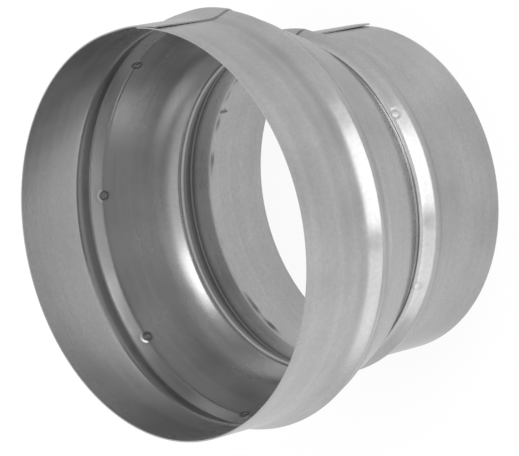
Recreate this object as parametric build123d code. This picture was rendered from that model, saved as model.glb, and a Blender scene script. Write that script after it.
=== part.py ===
from build123d import *
import math
import os

# Round duct reducer of galvanised sheet steel: two rolled collars and a pressed ring between them.
# The part stands on the rim of its small collar at z = 0, with the large mouth up.
# All sizes are in millimetres and all angles in degrees.

# Sizes that decide the part
LARGE_DIAMETER = 150.0  # outside of the large collar
SMALL_DIAMETER = 125.0  # outside of the small collar
LENGTH = 113.0  # from rim to rim
SHEET = 0.5  # thickness of all three sheets
LARGE_PLAIN_WIDTH = 26.5  # straight part of the large collar, from its rim to its bead
SMALL_PLAIN_WIDTH = 27.0  # straight part of the small collar, from its rim to its bead
BEAD_HEIGHT = 2.6  # above the straight part
BEAD_RISE = 19.0  # slope of a bead's long flank, on the side of the rim
BEAD_FALL = 28.0  # slope of its short flank, on the side of the conical wall
BEAD_RISE_RADIUS = 6.0  # hollow bend at the foot of the long flank, on the outside
BEAD_CREST_RADIUS = 2.0  # bend between the flanks
BEAD_FALL_RADIUS = 2.5  # hollow bend at the foot of the short flank

# Fits between the sheets
NEST_CLEARANCE = 0.05  # between any two sheets that lie on each other
RING_EDGE_SLOPE = 9.5  # slope of the bead's first bend where the large cut edge of the ring lies
RING_TUCK = 0.1  # how far the small cut edge of the ring shows past its bead
LARGE_LIP = 0.9  # straight edge of the large collar behind its bead
SMALL_LIP = 1.1  # straight edge of the small collar in front of its bead
SMALL_LIP_FLARE = 3.0  # how far that edge is turned out, so that it stands off the ring
THROAT_LAND = 0.8  # straight part of the ring between the throat and the small bead
SHOULDER_RADIUS = 2.0  # bend at the wide end of the conical wall
THROAT_RADIUS = 3.0  # bend at the narrow end of the conical wall, where the wall leaves room for it
WALL_BEND_SHARE = 0.9  # most of the conical wall that its two bends may take up

# Lap seams of the rolled collars
LAP_WIDTH = 10.0  # overlap of the two ends of a strip
LAP_RAMP = 16.0  # length over which the outer end climbs onto the inner one
LAP_STEPS = 6  # sections along that climb
LARGE_SEAM_ANGLE = -10.0  # where the outer end of the large collar is cut
SMALL_SEAM_ANGLE = -7.0  # where the outer end of the small collar is cut

# Sizes that follow
LARGE_RADIUS = LARGE_DIAMETER / 2
SMALL_RADIUS = SMALL_DIAMETER / 2
NEST_STEP = SHEET + NEST_CLEARANCE


def straight(length):
    """A straight stretch of sheet."""
    return (length, 0.0, 0.0)


def bend(angle, radius):
    """A bend of the sheet: away from the axis where the angle is positive, towards it where negative."""
    return (0.0, angle, radius)


def flank_length(angle, foot_radius):
    """Straight length of a bead's flank, between the bends at its foot and at the crest."""
    turn = math.radians(angle)
    bends_height = (foot_radius + BEAD_CREST_RADIUS) * (1 - math.cos(turn))
    return (BEAD_HEIGHT - bends_height) / math.sin(turn)


def flank_width(angle, foot_radius):
    """Width of a bead's flank along the axis, from its foot to the crest."""
    turn = math.radians(angle)
    bends_width = (foot_radius + BEAD_CREST_RADIUS) * math.sin(turn)
    return bends_width + flank_length(angle, foot_radius) * math.cos(turn)


def bead(flare=0.0):
    """A bead as it is met from the rim; its last bend may turn the sheet outwards by a flare."""
    return [
        bend(BEAD_RISE, BEAD_RISE_RADIUS),
        straight(flank_length(BEAD_RISE, BEAD_RISE_RADIUS)),
        bend(-BEAD_RISE - BEAD_FALL, BEAD_CREST_RADIUS),
        straight(flank_length(BEAD_FALL, BEAD_FALL_RADIUS)),
        bend(BEAD_FALL + flare, BEAD_FALL_RADIUS),
    ]


def trace(start, rise, moves, inset, slope=0.0):
    """Edges of the curve at an even distance inside the path, which sets out from the start at a slope."""
    heading = math.radians(slope)
    radius = start[0] - inset * math.cos(heading)
    height = start[1] + rise * inset * math.sin(heading)
    edges = []
    for length, angle, bend_radius in moves:
        first = (radius, height)
        if angle == 0:
            radius += length * math.sin(heading)
            height += rise * length * math.cos(heading)
            edges.append(Line(at(first), at((radius, height))))
            continue
        side = math.copysign(1, angle)
        own_radius = bend_radius + side * inset
        center = (
            radius + side * own_radius * math.cos(heading),
            height - rise * side * own_radius * math.sin(heading),
        )
        points = []
        for share in (0.5, 1.0):
            turned = heading + share * math.radians(angle)
            points.append((
                center[0] - side * own_radius * math.cos(turned),
                center[1] + rise * side * own_radius * math.sin(turned),
            ))
        edges.append(ThreePointArc(at(first), at(points[0]), at(points[1])))
        heading += math.radians(angle)
        radius, height = points[1]
    return edges


def at(point):
    """A point of the half section, given by its radius and its height."""
    return Vector(point[0], 0, point[1])


def section(start, rise, moves, inset, slope=0.0):
    """Half section of a sheet whose outer face runs at the inset inside the path."""
    outer = trace(start, rise, moves, inset, slope)
    inner = trace(start, rise, moves, inset + SHEET, slope)
    first_edge = Line(outer[0] @ 0, inner[0] @ 0)
    last_edge = Line(outer[-1] @ 1, inner[-1] @ 1)
    return Face(Wire([*outer, *inner, first_edge, last_edge]))


def turned(face, angle):
    """The half section turned about the axis to an angle."""
    return face.rotate(Axis.Z, angle)


def rolled_collar(start, rise, moves, seam_angle):
    """A strip rolled into a collar, with its outer end lapped over its inner end at the seam."""
    lap_angle = math.degrees(LAP_WIDTH / start[0])
    ramp_angle = math.degrees(LAP_RAMP / start[0])
    flat = section(start, rise, moves, 0)
    lifted = section(start, rise, moves, -NEST_STEP)

    ramp_start = seam_angle + lap_angle
    body = revolve(turned(flat, ramp_start + ramp_angle), Axis.Z, 360 - ramp_angle)
    lap = revolve(turned(lifted, seam_angle), Axis.Z, lap_angle)
    climb = []
    for step in range(LAP_STEPS + 1):
        share = step / LAP_STEPS
        lift = NEST_STEP * (1 + math.cos(math.pi * share)) / 2
        climb.append(turned(section(start, rise, moves, -lift), ramp_start + share * ramp_angle))
    return body + loft(climb) + lap


def reducing_ring():
    """The pressed ring: from the large bead down the conical wall to the small bead."""
    bead_width = flank_width(BEAD_RISE, BEAD_RISE_RADIUS) + flank_width(BEAD_FALL, BEAD_FALL_RADIUS)
    collars = LARGE_PLAIN_WIDTH + SMALL_PLAIN_WIDTH + 2 * bead_width
    wall_run = LENGTH - collars - THROAT_LAND
    wall_drop = LARGE_RADIUS - SMALL_RADIUS
    widest_bends = (wall_run**2 + wall_drop**2) / (2 * wall_drop)
    throat_radius = min(THROAT_RADIUS, WALL_BEND_SHARE * widest_bends - SHOULDER_RADIUS)
    bends = SHOULDER_RADIUS + throat_radius
    slant = math.sqrt(wall_run**2 + (wall_drop - bends)**2 - bends**2)
    wall_slope = math.degrees(math.atan2(wall_drop - bends, wall_run) + math.atan2(bends, slant))

    edge_turn = math.radians(RING_EDGE_SLOPE)
    start = (
        LARGE_RADIUS + BEAD_RISE_RADIUS * (1 - math.cos(edge_turn)),
        LENGTH - LARGE_PLAIN_WIDTH - BEAD_RISE_RADIUS * math.sin(edge_turn),
    )
    moves = [
        bend(BEAD_RISE - RING_EDGE_SLOPE, BEAD_RISE_RADIUS),
        *bead()[1:],
        bend(-wall_slope, SHOULDER_RADIUS),
        straight(slant),
        bend(wall_slope, throat_radius),
        straight(THROAT_LAND),
        *reversed(bead()),
        straight(RING_TUCK),
    ]
    return revolve(section(start, -1, moves, NEST_STEP, RING_EDGE_SLOPE), Axis.Z, 360)


large_collar = rolled_collar(
    (LARGE_RADIUS, LENGTH),
    -1,
    [straight(LARGE_PLAIN_WIDTH), *bead(), straight(LARGE_LIP)],
    LARGE_SEAM_ANGLE,
)
small_collar = rolled_collar(
    (SMALL_RADIUS, 0),
    1,
    [straight(SMALL_PLAIN_WIDTH), *bead(SMALL_LIP_FLARE), straight(SMALL_LIP)],
    SMALL_SEAM_ANGLE,
)

os.makedirs("parts", exist_ok=True)
export_step(large_collar, "parts/large_collar.step")
export_step(reducing_ring(), "parts/reducing_ring.step")
export_step(small_collar, "parts/small_collar.step")
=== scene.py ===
import math

import bpy
from mathutils import Matrix, Vector, noise


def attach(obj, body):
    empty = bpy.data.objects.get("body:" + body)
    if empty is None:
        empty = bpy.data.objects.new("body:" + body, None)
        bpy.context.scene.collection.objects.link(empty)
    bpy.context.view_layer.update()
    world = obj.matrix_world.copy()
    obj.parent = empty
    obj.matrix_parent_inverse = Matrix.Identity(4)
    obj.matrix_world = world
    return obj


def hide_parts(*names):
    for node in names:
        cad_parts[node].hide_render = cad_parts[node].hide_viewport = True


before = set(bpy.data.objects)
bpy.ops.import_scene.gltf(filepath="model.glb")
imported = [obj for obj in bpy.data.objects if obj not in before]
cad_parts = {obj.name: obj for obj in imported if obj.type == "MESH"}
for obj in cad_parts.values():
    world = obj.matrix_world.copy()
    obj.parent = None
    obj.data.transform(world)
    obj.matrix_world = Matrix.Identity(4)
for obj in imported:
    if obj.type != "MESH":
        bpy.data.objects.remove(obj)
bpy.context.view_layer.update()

# A duct reducer of galvanised sheet: two rolled collars and the pressed ring between them.
# Sizes are in millimetres and angles in degrees. Crests and cut edges lie where the solids have them.
# The beads rise more softly than in the solids, and the ring's wall grows steeper towards the throat.

# Sheets
MM = 0.001
LARGE_RADIUS = 75.0
SMALL_RADIUS = 62.5
LENGTH = 113.0
SHEET = 0.5
NEST_STEP = 0.55  # from the outer face of a collar to that of the ring inside it
LARGE_PLAIN_WIDTH = 25.65  # from the rim of a collar to its bead
SMALL_PLAIN_WIDTH = 26.83
LARGE_LIP = 0.9  # straight edge of a collar past its bead
SMALL_LIP = 0.4
SMALL_LIP_FLARE = 3.0  # how far that edge is turned out

# Beads
BEAD_HEIGHT = 2.6
LARGE_RISE = {"angle": 21.0, "foot_radius": 14.0, "crest_radius": 2.0}  # flank on the side of the rim
SMALL_RISE = {"angle": 19.0, "foot_radius": 6.0, "crest_radius": 3.0}
BEAD_FALL = 28.0  # slope of the flank on the side of the wall
BEAD_FALL_RADIUS = 2.5
LARGE_EDGE_SLOPE = 7.6  # slope of the beads where the ring's cut edges lie on them
SMALL_EDGE_SLOPE = 1.6

# Wall of the ring
LEDGE_SLOPE = 10.0  # least slope, behind the large bead
SHOULDER_RADIUS = 2.0
BROW_SLOPE = 41.0  # greatest slope, above the throat
BROW_RADIUS = 30.0
THROAT_RADIUS = 2.5
THROAT_LAND = 0.8
BROW_DENT = 0.5  # how far the wall is pressed in above the throat, on the side of -Y
BROW_DENT_RISE = 3.2  # from the throat to the deepest place
BROW_DENT_WIDTH = 4.0

# Lap seams of the collars
LAP_WIDTH = 10.0
LAP_RAMP = 16.0  # over which the outer end climbs onto the inner one
LARGE_SEAM_ANGLE = -10.0
SMALL_SEAM_ANGLE = -7.0
LARGE_LAP_OPENING = 0.3  # how far the free corner of a lap stands off
SMALL_LAP_OPENING = 0.5
OPENING_RUN = 24.0  # from the rim to where the lap lies flat
OPENING_CURVE = 1.3  # how steeply the lap comes down round the axis

# Spot welds: a pressed circle with a low rim round it
SMALL_WELDS = [-59.1 + 60 * k for k in range(6)]  # on the bead of the small collar
SMALL_WELD_INSET = 2.4  # from the edge of the small collar to the middle of a weld
RING_WELDS = [37.3 + 45 * k for k in range(8)]  # inside the large bead
WELD_REACH = 3.8
WELD_CIRCLE = 1.5  # radius of the pressed circle
WELD_CIRCLE_WIDTH = 0.5
WELD_CIRCLE_DEPTH = 0.18
WELD_RIM = 2.55  # radius of the rim
WELD_RIM_WIDTH = 0.45
WELD_RIM_HEIGHT = 0.03
WELD_MIDDLE_WIDTH = 0.8
WELD_MIDDLE_DEPTH = 0.04
WELD_MIDDLE_GRIME = 0.5
OUTER_WELD_DEPTH = 0.6  # of the depth of the inner marks
OUTER_WELD_GRIME = 0.24

# Narrow cut edge of the ring, which is ragged, has a painted shadow line along it and has one sliver of burr
EDGE_RAGGEDNESS = 1.2
EDGE_NOISE_SCALE = 9.0
EDGE_NOISE_LAYER = 0.3
EDGE_SHADOW = 1.5
EDGE_ROWS = 3  # rows of the mesh along that edge that are painted dark
BURR_ANGLE = 55.0
BURR_LENGTH = 2.6
BURR_WIDTH = 0.8  # in degrees round the axis
BURR_CURL = 0.3

# Grime and painted light, from 0 for the plain steel to 1 for the darkest place: weld grime, and painted
# shade in folds, along the foot and crest of beads and along an edge. Where it is less than 0 the steel is
# brighter, as painted highlight.
GRIME_SHADE = 0.7  # how much of the steel's tone the darkest grime or painted shade takes away
LARGE_FOLD_SHADE = 0.7  # painted shade on the near flank of the large groove inside
SMALL_FOLD_SHADE = 0.95  # painted shade on the near flank of the small groove inside
SMALL_FOLD_REACH = 2.4  # how far that painted shade goes on past that flank
FOLD_FADE = 2.0
THROAT_FADE = 1.0  # between the throat and the small groove
HOLLOW_SHADE = 0.08  # painted shade along the foot of the large bead outside
HOLLOW_INSET = 1.3  # from the start of the bead to the middle of that painted shade
HOLLOW_WIDTH = 3.5
STRIPED_SHADE = 0.26  # painted shade in stripes round the upper part of that foot
STRIPED_SHADE_ANGLE = -42.0
STRIPED_SHADE_TURN = 28.0
STRIPED_SHADE_WIDTH = 7.0
STRIPED_SHADE_STRIPE = 6.5  # from one stripe to the next
STRIPED_SHADE_CONTRAST = 0.67  # how much lighter that painted shade is between the stripes
CREST_SHADE = 0.35  # painted shade along the crest of the small bead outside, on the side of its rim
CREST_WIDTH = 1.6
LIP_HIGHLIGHT = 0.5  # how much brighter the outside of the small collar is painted at its edge, as a painted highlight
LIP_HIGHLIGHT_WIDTH = 1.6
OUTSIDE_SHADE = 0.08  # even painted shade on the outside of the ring and of the small collar
THROAT_HIGHLIGHT = 0.5  # how much brighter the outside of the ring is painted at its throat, as a painted highlight against the shade of its steep brow
THROAT_HIGHLIGHT_WIDTH = 2.6

# Mesh steps
PATH_STEP = 2.0
FINE_PATH_STEP = 0.45
BEND_STEP = 4.0
TURN_STEP = 1.0
FINE_TURN_STEP = 0.33
FINE_TURN_REACH = 3.0
RING_FIRST_ANGLE = -30.0
SHARP_EDGE = 35.0


def straight(length):
    """A straight stretch of sheet: its length, and no bend."""
    return (length, 0.0, 0.0)


def bend(angle, radius):
    """A bend of the sheet: away from the axis where the angle is positive."""
    return (0.0, angle, radius)


def flank(angle, foot_radius, crest_radius):
    """Straight length of a bead's flank between its bends, and its width from foot to crest."""
    turn = math.radians(angle)
    bends = foot_radius + crest_radius
    length = (BEAD_HEIGHT - bends * (1 - math.cos(turn))) / math.sin(turn)
    return length, bends * math.sin(turn) + length * math.cos(turn)


def bead(rise, edge_slope=0.0, flare=0.0):
    """A bead as it is met from the rim. It may set out at a slope, and end turned out by a flare."""
    crest_radius = rise["crest_radius"]
    return [
        bend(rise["angle"] - edge_slope, rise["foot_radius"]),
        straight(flank(**rise)[0]),
        bend(-rise["angle"] - BEAD_FALL, crest_radius),
        straight(flank(BEAD_FALL, BEAD_FALL_RADIUS, crest_radius)[0]),
        bend(BEAD_FALL + flare, BEAD_FALL_RADIUS),
    ]


def bead_width(rise):
    """Width of a bead along the axis."""
    return flank(**rise)[1] + flank(BEAD_FALL, BEAD_FALL_RADIUS, rise["crest_radius"])[1]


def run_of(moves):
    """Length of the sheet along the moves."""
    return sum(length + math.radians(abs(angle)) * radius for length, angle, radius in moves)


def sample(start, rise, moves, fine_run=None, slope=0.0):
    """Points along the outer face: radius, height, normal in radius and height, and run."""
    radius, height = start
    heading = math.radians(slope)
    run = 0.0
    points = [(radius, height, math.cos(heading), -rise * math.sin(heading), run)]
    for length, angle, bend_radius in moves:
        turn = math.radians(angle)
        stretch = length + abs(turn) * bend_radius
        near = fine_run is not None and fine_run - WELD_REACH - stretch < run < fine_run + WELD_REACH
        count = max(1, math.ceil(stretch / (FINE_PATH_STEP if near else PATH_STEP)))
        count = max(count, math.ceil(abs(angle) / BEND_STEP))
        side = math.copysign(1, turn)
        for k in range(1, count + 1):
            share = k / count
            now = heading + turn * share
            if angle == 0:
                r = radius + length * share * math.sin(heading)
                z = height + rise * length * share * math.cos(heading)
            else:
                r = radius + side * bend_radius * (math.cos(heading) - math.cos(now))
                z = height + rise * side * bend_radius * (math.sin(now) - math.sin(heading))
            points.append((r, z, math.cos(now), -rise * math.sin(now), run + stretch * share))
        radius, height = points[-1][:2]
        heading += turn
        run += stretch
    return points


def turn_from(angle, other):
    """Signed turn in degrees from the other angle to the angle, by the short way."""
    return (angle - other + 180) % 360 - 180


def angles_between(first, last, near=()):
    """Angles from first to last in degrees, closer together round the angles in near."""
    angles = []
    angle = first
    while angle < last - FINE_TURN_STEP / 2:
        angles.append(angle)
        close = any(abs(turn_from(angle, n)) < FINE_TURN_REACH for n in near)
        angle += FINE_TURN_STEP if close else TURN_STEP
    return [*angles, last]


def sheet_mesh(name, path, angles, closed, shift):
    """A sheet lathed from its path. shift gives the lift off the path, a move along z, and the weld grime,
    painted shade and painted highlight at each point.
    """
    rows, columns = len(path), len(angles)
    verts, grime_and_painted_light, faces = [], [], []
    for angle in angles:
        c, s = math.cos(math.radians(angle)), math.sin(math.radians(angle))
        for inside in (0, 1):
            for row, (r, z, normal_r, normal_z, run) in enumerate(path):
                lift, along, mark = shift(angle, run, inside, row)
                lift -= inside * SHEET
                reach = r + normal_r * lift
                verts.append((reach * c * MM, reach * s * MM, (z + normal_z * lift + along) * MM))
                grime_and_painted_light.append(mark)

    def vert(column, inside, row):
        return ((column % columns) * 2 + inside) * rows + row

    def quad(*corners):
        faces.append([vert(*corner) for corner in corners])

    end = rows - 1
    for j in range(columns if closed else columns - 1):
        k = j + 1
        for i in range(end):
            quad((j, 0, i), (k, 0, i), (k, 0, i + 1), (j, 0, i + 1))
            quad((j, 1, i), (j, 1, i + 1), (k, 1, i + 1), (k, 1, i))
        quad((j, 0, 0), (j, 1, 0), (k, 1, 0), (k, 0, 0))
        quad((j, 0, end), (k, 0, end), (k, 1, end), (j, 1, end))
    if not closed:
        last = columns - 1
        for i in range(end):
            quad((0, 0, i), (0, 0, i + 1), (0, 1, i + 1), (0, 1, i))
            quad((last, 0, i), (last, 1, i), (last, 1, i + 1), (last, 0, i + 1))

    mesh = bpy.data.meshes.new(name)
    mesh.from_pydata(verts, [], faces)
    mesh.attributes.new("grime_and_painted_light", "FLOAT", "POINT").data.foreach_set("value", grime_and_painted_light)
    obj = bpy.data.objects.new(name, mesh)
    bpy.context.collection.objects.link(obj)
    bpy.ops.object.select_all(action="DESELECT")
    bpy.context.view_layer.objects.active = obj
    obj.select_set(True)
    bpy.ops.object.mode_set(mode="EDIT")
    bpy.ops.mesh.select_all(action="SELECT")
    bpy.ops.mesh.normals_make_consistent(inside=False)
    bpy.ops.object.mode_set(mode="OBJECT")
    mesh.polygons.foreach_set("use_smooth", [True] * len(mesh.polygons))
    mesh.set_sharp_from_angle(angle=math.radians(SHARP_EDGE))
    return obj


def hump(distance, width):
    """A smooth bump that is 1 at no distance and fades over the width."""
    return math.exp(-((distance / width) ** 2))


def fade(run, last, width):
    """1 up to the last run, and from there down to 0 over the width."""
    return min(1.0, max(0.0, (last + width - run) / width))


def weld_mark(angle, run, radius, welds, weld_run):
    """Depth of a spot weld's mark at a place on the sheet, and the grime in it."""
    for weld in welds:
        around = math.radians(turn_from(angle, weld)) * radius
        distance = math.hypot(around, run - weld_run)
        if distance < WELD_REACH:
            circle = hump(distance - WELD_CIRCLE, WELD_CIRCLE_WIDTH)
            rim = hump(distance - WELD_RIM, WELD_RIM_WIDTH)
            middle = hump(distance, WELD_MIDDLE_WIDTH)
            depth = WELD_CIRCLE_DEPTH * circle - WELD_RIM_HEIGHT * rim + WELD_MIDDLE_DEPTH * middle
            return depth, max(circle, WELD_MIDDLE_GRIME * middle)
    return 0.0, 0.0


def lap_lift(angle, run, seam_angle, radius, opening):
    """How far the outer end of a rolled strip stands off: over the lap, then down the ramp."""
    around = math.radians(angle - seam_angle) * radius
    if around < LAP_WIDTH:
        free = max(0.0, 1 - run / OPENING_RUN) * (1 - around / LAP_WIDTH) ** OPENING_CURVE
        return NEST_STEP + opening * free
    if around < LAP_WIDTH + LAP_RAMP:
        return NEST_STEP * (1 + math.cos(math.pi * (around - LAP_WIDTH) / LAP_RAMP)) / 2
    return 0.0


# Large collar
large_moves = [straight(LARGE_PLAIN_WIDTH), *bead(LARGE_RISE), straight(LARGE_LIP)]
large_end = LARGE_SEAM_ANGLE + 360 + math.degrees(LAP_WIDTH / LARGE_RADIUS)
hollow_run = LARGE_PLAIN_WIDTH + HOLLOW_INSET


def large_shift(angle, run, inside, row):
    """The large collar's lap, and painted shade along the foot of its bead."""
    lift = lap_lift(angle, run, LARGE_SEAM_ANGLE, LARGE_RADIUS, LARGE_LAP_OPENING)
    if inside:
        return lift, 0.0, 0.0
    # Painted shade along the foot of the bead.
    hollow = hump(run - hollow_run, HOLLOW_WIDTH)
    # Painted shade in stripes round the upper side of that foot.
    striped_shade = hump(turn_from(angle, STRIPED_SHADE_ANGLE), STRIPED_SHADE_TURN) * hump(run - LARGE_PLAIN_WIDTH, STRIPED_SHADE_WIDTH)
    gap = (1 - math.cos(math.tau * (run - hollow_run) / STRIPED_SHADE_STRIPE)) / 2
    return lift, 0.0, HOLLOW_SHADE * hollow + STRIPED_SHADE * striped_shade * (1 - STRIPED_SHADE_CONTRAST * gap)


large_collar = sheet_mesh(
    "large_collar_sheet",
    sample((LARGE_RADIUS, LENGTH), -1, large_moves),
    angles_between(LARGE_SEAM_ANGLE, large_end),
    False,
    large_shift,
)

# Small collar
small_bead = bead(SMALL_RISE, flare=SMALL_LIP_FLARE)
small_moves = [straight(SMALL_PLAIN_WIDTH), *small_bead, straight(SMALL_LIP)]
small_end = SMALL_SEAM_ANGLE + 360 + math.degrees(LAP_WIDTH / SMALL_RADIUS)
small_edge_run = run_of(small_moves)
small_weld_run = small_edge_run - SMALL_WELD_INSET
small_crest_run = SMALL_PLAIN_WIDTH + run_of(small_bead[:2])


def small_shift(angle, run, inside, row):
    """The small collar's lap, its weld marks, painted shade along its crest and over its outside, and a
    painted highlight at its edge.
    """
    lift = lap_lift(angle, run, SMALL_SEAM_ANGLE, SMALL_RADIUS, SMALL_LAP_OPENING)
    if inside:
        return lift, 0.0, 0.0
    depth, mark = weld_mark(angle, run, SMALL_RADIUS, SMALL_WELDS, small_weld_run)
    # Painted shade along the crest and an even painted shade over the outside; a painted highlight at the
    # edge.
    crest = hump(run - small_crest_run + CREST_WIDTH, CREST_WIDTH)
    mark = max(OUTSIDE_SHADE, OUTER_WELD_GRIME * mark, CREST_SHADE * crest)
    mark -= LIP_HIGHLIGHT * hump(run - small_edge_run, LIP_HIGHLIGHT_WIDTH)
    return lift - OUTER_WELD_DEPTH * depth, 0.0, mark


small_collar = sheet_mesh(
    "small_collar_sheet",
    sample((SMALL_RADIUS, 0), 1, small_moves, small_weld_run),
    angles_between(SMALL_SEAM_ANGLE, small_end, SMALL_WELDS),
    False,
    small_shift,
)


# Reducing ring
def wall():
    """The ring's wall: off the ledge behind the large bead, down, and steeper towards the throat."""
    ledge, brow = math.radians(LEDGE_SLOPE), math.radians(BROW_SLOPE)
    upper_bends = BEAD_FALL_RADIUS + SHOULDER_RADIUS
    lower_bends = BROW_RADIUS + THROAT_RADIUS
    large_width = LARGE_PLAIN_WIDTH + bead_width(LARGE_RISE)
    small_width = SMALL_PLAIN_WIDTH + bead_width(SMALL_RISE) + THROAT_LAND
    run = LENGTH - large_width - small_width
    run += upper_bends * math.sin(ledge) - lower_bends * math.sin(brow)
    drop = LARGE_RADIUS + BEAD_FALL_RADIUS - SMALL_RADIUS - THROAT_RADIUS
    drop += lower_bends * math.cos(brow) - upper_bends * math.cos(ledge)
    spread = BROW_RADIUS - SHOULDER_RADIUS
    slant = math.sqrt(run**2 + drop**2 - spread**2)
    slope = math.degrees(math.atan2(drop, run) - math.atan2(spread, slant))
    return [
        bend(LEDGE_SLOPE - slope, SHOULDER_RADIUS),
        straight(WELD_REACH),
        straight(slant - WELD_REACH),
        bend(slope - BROW_SLOPE, BROW_RADIUS),
        bend(BROW_SLOPE, THROAT_RADIUS),
    ]


edge_turn = math.radians(LARGE_EDGE_SLOPE)
ring_start = (
    LARGE_RADIUS + LARGE_RISE["foot_radius"] * (1 - math.cos(edge_turn)),
    LENGTH - LARGE_PLAIN_WIDTH - LARGE_RISE["foot_radius"] * math.sin(edge_turn),
)
ring_large_bead = bead(LARGE_RISE, LARGE_EDGE_SLOPE, -LEDGE_SLOPE)
ring_wall = wall()
ring_small_bead = bead(SMALL_RISE, SMALL_EDGE_SLOPE)[::-1]
ring_moves = [*ring_large_bead, *ring_wall, straight(THROAT_LAND), *ring_small_bead]

large_fold_run = run_of(ring_large_bead[:2])
ring_weld_run = run_of(ring_large_bead)
throat_run = ring_weld_run + run_of(ring_wall[:-1])
dent_run = throat_run - BROW_DENT_RISE
small_fold_start = ring_weld_run + run_of(ring_wall) + THROAT_LAND
small_fold_end = small_fold_start + run_of(ring_small_bead[:2]) + SMALL_FOLD_REACH
ring_path = sample(ring_start, -1, ring_moves, ring_weld_run, LARGE_EDGE_SLOPE)


def inner_ring_mark(angle, run):
    """Depth and darkening on the inside of the ring: weld grime in its welds, and painted shade on the near
    flanks of its grooves.
    """
    depth, mark = weld_mark(angle, run, LARGE_RADIUS, RING_WELDS, ring_weld_run)
    # Painted shade on the near flanks of the two grooves inside, where their folds lie in shade.
    large_fold = fade(run, large_fold_run, FOLD_FADE)
    small_fold = fade(run, small_fold_end, FOLD_FADE) * fade(-run, -small_fold_start, THROAT_FADE)
    return depth, max(mark, LARGE_FOLD_SHADE * large_fold, SMALL_FOLD_SHADE * small_fold)


def ring_shift(angle, run, inside, row):
    """The ring's dent and welds, its painted shade and highlight, and its ragged narrow edge."""
    turn = math.radians(angle)
    if inside:
        depth, mark = inner_ring_mark(angle, run)
    else:
        # Outside: an even painted shade, and a painted highlight at the throat.
        depth, mark = 0.0, OUTSIDE_SHADE - THROAT_HIGHLIGHT * hump(run - throat_run, THROAT_HIGHLIGHT_WIDTH)
    dent = BROW_DENT * (1 - math.sin(turn)) / 2 * hump(run - dent_run, BROW_DENT_WIDTH)
    lift, along = -depth - NEST_STEP - dent, 0.0
    if row >= len(ring_path) - EDGE_ROWS:
        place = (EDGE_NOISE_SCALE * math.cos(turn), EDGE_NOISE_SCALE * math.sin(turn), EDGE_NOISE_LAYER)
        rough = max(0.0, noise.noise(Vector(place)))
        burr = hump(turn_from(angle, BURR_ANGLE), BURR_WIDTH)
        # Painted shadow along the ragged edge where it steps down onto the small collar; the sliver of burr
        # is painted fully dark.
        mark = max(mark, EDGE_SHADOW * rough, burr)
        if row == len(ring_path) - 1:
            lift -= BURR_CURL * burr
            along = -EDGE_RAGGEDNESS * rough - BURR_LENGTH * burr
    return lift, along, mark


ring = sheet_mesh(
    "reducing_ring_sheet",
    ring_path,
    angles_between(RING_FIRST_ANGLE, RING_FIRST_ANGLE + 360, [*RING_WELDS, BURR_ANGLE])[:-1],
    True,
    ring_shift,
)


class Nodes:
    """Short calls for building a node tree."""

    def __init__(self, tree):
        self.tree = tree
        tree.nodes.clear()

    def put(self, kind, **values):
        """A node with its sockets set to values or linked to other nodes' sockets."""
        node = self.tree.nodes.new(kind)
        for name, value in values.items():
            self.plug(node, name.replace("_", " "), value)
        return node

    def plug(self, node, socket_key, value):
        """Sets one socket of a node, by its name or number, to a value or a link."""
        socket = node.inputs[socket_key]
        if isinstance(value, bpy.types.NodeSocket):
            self.tree.links.new(value, socket)
        else:
            socket.default_value = value

    def math(self, operation, first, second):
        """The result of a sum, product or other operation on two values."""
        node = self.tree.nodes.new("ShaderNodeMath")
        node.operation = operation
        self.plug(node, 0, first)
        self.plug(node, 1, second)
        return node.outputs[0]

    def remap(self, value, low, high, to_low, to_high):
        """The value carried from one range to another and held at its ends."""
        node = self.put(
            "ShaderNodeMapRange", Value=value, From_Min=low, From_Max=high, To_Min=to_low, To_Max=to_high
        )
        return node.outputs["Result"]


# Galvanised steel
STEEL_TONE = 0.405
METAL_SHARE = 0.82
GRAZING_TINT = (0.85, 0.85, 0.85, 1)
NOISE_LOW, NOISE_HIGH = 0.3, 0.7  # between which nearly all of a noise lies
BLOTCH_SCALE = (26, 26, 26)
STREAK_SCALE = (9, 9, 330)  # long round the axis and fine along it
BAND_SCALE = (7, 7, 110)
GRAIN_SCALE = (750, 750, 750)
BAND_HEIGHT = 0.06


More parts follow.
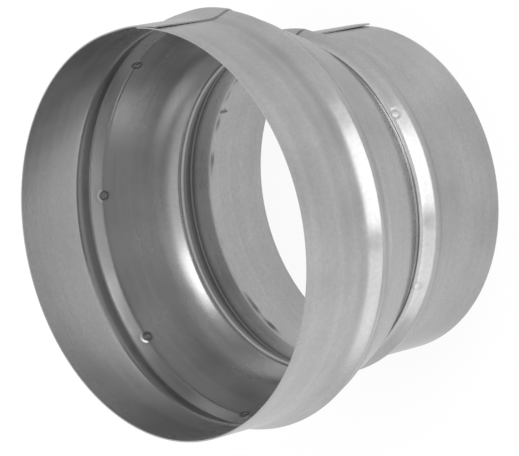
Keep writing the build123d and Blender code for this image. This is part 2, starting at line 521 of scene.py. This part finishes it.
def galvanised_steel(name):
    """Zinc-coated steel: soft blotches, rolling streaks round the axis, fine grain and a low sheen. Its tone
    is darkened by weld grime and painted shade, and brightened by painted highlight.
    """
    material = bpy.data.materials.new(name)
    material.use_nodes = True
    nodes = Nodes(material.node_tree)
    place = nodes.put("ShaderNodeTexCoord").outputs["Object"]

    def noise_at(scale, detail=1.0):
        stretched = nodes.put("ShaderNodeMapping", Vector=place, Scale=scale).outputs["Vector"]
        return nodes.put("ShaderNodeTexNoise", Vector=stretched, Scale=1.0, Detail=detail).outputs["Fac"]

    def spread(texture, low, high):
        return nodes.remap(texture, NOISE_LOW, NOISE_HIGH, low, high)

    blotches = noise_at(BLOTCH_SCALE, detail=3.0)
    streaks = noise_at(STREAK_SCALE)
    grain = noise_at(GRAIN_SCALE)
    grime_and_painted_light = nodes.tree.nodes.new("ShaderNodeAttribute")
    grime_and_painted_light.attribute_name = "grime_and_painted_light"

    tone = nodes.math("MULTIPLY", spread(blotches, 0.88, 1.12), spread(streaks, 0.96, 1.04))
    tone = nodes.math("MULTIPLY", tone, spread(grain, 0.96, 1.04))
    # The attribute darkens the tone with weld grime and painted shade, and brightens it with painted
    # highlight.
    lightness_factor = nodes.remap(grime_and_painted_light.outputs["Fac"], -1, 1, 1 + GRIME_SHADE, 1 - GRIME_SHADE)
    tone = nodes.math("MULTIPLY", tone, lightness_factor)
    tone = nodes.math("MULTIPLY", tone, STEEL_TONE)
    colour = nodes.put("ShaderNodeCombineColor", Red=tone, Green=tone, Blue=tone).outputs["Color"]

    sheen = nodes.math("ADD", spread(blotches, 0.2, 0.3), spread(streaks, -0.03, 0.03))
    bands = nodes.put("ShaderNodeBump", Height=noise_at(BAND_SCALE), Strength=1.0, Distance=BAND_HEIGHT * MM)
    bsdf = nodes.put(
        "ShaderNodeBsdfPrincipled",
        Base_Color=colour,
        Metallic=METAL_SHARE,
        Specular_Tint=GRAZING_TINT,
        Roughness=sheen,
        Normal=bands.outputs["Normal"],
    )
    nodes.put("ShaderNodeOutputMaterial", Surface=bsdf.outputs["BSDF"])
    return material


steel = galvanised_steel("galvanised_steel")
for piece, node in ((large_collar, "large_collar"), (small_collar, "small_collar"), (ring, "reducing_ring")):
    piece.data.materials.append(steel)
    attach(piece, "root")
    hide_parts(node)


# Floor of white paper, in metres. In the metal it is dimmer on the side of -Y and towards +X.
FLOOR_SIZE = 12
FLOOR_DROP = 0.0003  # below the rim that the part stands on
PAPER = (0.9, 0.9, 0.9, 1)
PAPER_GLOW = 0.9  # share of plain white that the camera and the metal see in it
DIM_WHITE = 0.78
DIM_SIDE = (-0.03, -0.07)  # where along Y the white begins to fall off, and where it is dim
DIM_UPPER = (-0.035, 0.0)  # the same along X, on that side
DIM_BEYOND = (0.045, 0.065)  # the same along X, on both sides


def white_paper():
    """White paper that is seen as plain white and keeps a soft shadow."""
    material = bpy.data.materials.new("white_paper")
    material.use_nodes = True
    nodes = Nodes(material.node_tree)
    rays = nodes.put("ShaderNodeLightPath").outputs
    seen = nodes.math("MAXIMUM", rays["Is Camera Ray"], rays["Is Glossy Ray"])
    seen = nodes.math("MAXIMUM", seen, rays["Is Transmission Ray"])

    place = nodes.put("ShaderNodeTexCoord").outputs["Object"]
    axes = nodes.put("ShaderNodeSeparateXYZ", Vector=place).outputs
    side = nodes.remap(axes["Y"], *DIM_SIDE, 0.0, 1.0)
    upper = nodes.remap(axes["X"], *DIM_UPPER, 0.0, 1.0)
    beyond = nodes.remap(axes["X"], *DIM_BEYOND, 0.0, 1.0)
    dim = nodes.math("MAXIMUM", nodes.math("MULTIPLY", side, upper), beyond)
    dim = nodes.math("MULTIPLY", dim, rays["Is Glossy Ray"])

    matte = nodes.put("ShaderNodeBsdfDiffuse", Color=PAPER)
    glow = nodes.put("ShaderNodeEmission", Strength=nodes.remap(dim, 0.0, 1.0, 1.0, DIM_WHITE))
    mixed = nodes.put("ShaderNodeMixShader", Fac=nodes.math("MULTIPLY", seen, PAPER_GLOW))
    nodes.plug(mixed, 1, matte.outputs["BSDF"])
    nodes.plug(mixed, 2, glow.outputs["Emission"])
    nodes.put("ShaderNodeOutputMaterial", Surface=mixed.outputs["Shader"])
    return material


bpy.ops.mesh.primitive_plane_add(size=FLOOR_SIZE, location=(0, 0, -FLOOR_DROP))
floor = bpy.context.object
floor.name = "floor"
floor.data.materials.append(white_paper())


# Soft studio light, in metres: places, targets, widths, heights and radiances
def soft_box(name, location, target, width, height, radiance):
    """A soft light of even radiance, turned to a target. It shows in the metal, not to the camera."""
    data = bpy.data.lights.new(name, "AREA")
    data.shape = "RECTANGLE"
    data.size = width
    data.size_y = height
    data.energy = radiance * math.pi * width * height
    lamp = bpy.data.objects.new(name, data)
    bpy.context.collection.objects.link(lamp)
    lamp.location = location
    toward = Vector(target) - Vector(location)
    lamp.rotation_euler = toward.to_track_quat("-Z", "Y").to_euler()
    lamp.visible_camera = False


soft_box("side_light", (0.15, -0.45, 0.085), (0.0, 0.0, 0.085), 0.56, 0.17, 0.9)
soft_box("side_core", (0.11, -0.46, 0.085), (0.0, 0.0, 0.085), 0.38, 0.17, 1.35)
soft_box("low_light", (-0.31, -0.31, 0.085), (0.0, 0.0, 0.085), 0.44, 0.17, 1.0)
soft_box("top_light", (0.0, 0.0, 1.2), (0.0, 0.0, 0.0), 0.9, 0.9, 1.3)
soft_box("key_light", (0.36, -0.4, 0.46), (0.0, 0.0, 0.06), 0.42, 0.36, 2.8)

WORLD_STRENGTH = 0.95
world = bpy.data.worlds.new("studio")
bpy.context.scene.world = world
world.use_nodes = True
background = world.node_tree.nodes["Background"]
background.inputs["Color"].default_value = (1, 1, 1, 1)
background.inputs["Strength"].default_value = WORLD_STRENGTH

# Camera of the photograph
IMAGE_WIDTH = 519
FOCAL_PIXELS = 3089.6
SENSOR_WIDTH = 36
CAMERA_PLACE = Vector((0.110655, -0.821618, 0.84108))
CAMERA_RIGHT = Vector((-0.12303, -0.69158, -0.71174))
CAMERA_UP = Vector((0.98717, -0.01175, -0.15922))
CAMERA_LOOK = Vector((-0.10175, 0.72220, -0.68416))
camera_data = bpy.data.cameras.new("camera")
camera_data.sensor_width = SENSOR_WIDTH
camera_data.lens = FOCAL_PIXELS / IMAGE_WIDTH * SENSOR_WIDTH
camera = bpy.data.objects.new("camera", camera_data)
bpy.context.collection.objects.link(camera)
turned = Matrix((CAMERA_RIGHT, CAMERA_UP, -CAMERA_LOOK)).transposed().to_4x4()
camera.matrix_world = Matrix.Translation(CAMERA_PLACE) @ turned
bpy.context.scene.camera = camera
bpy.context.scene.view_settings.view_transform = "Standard"
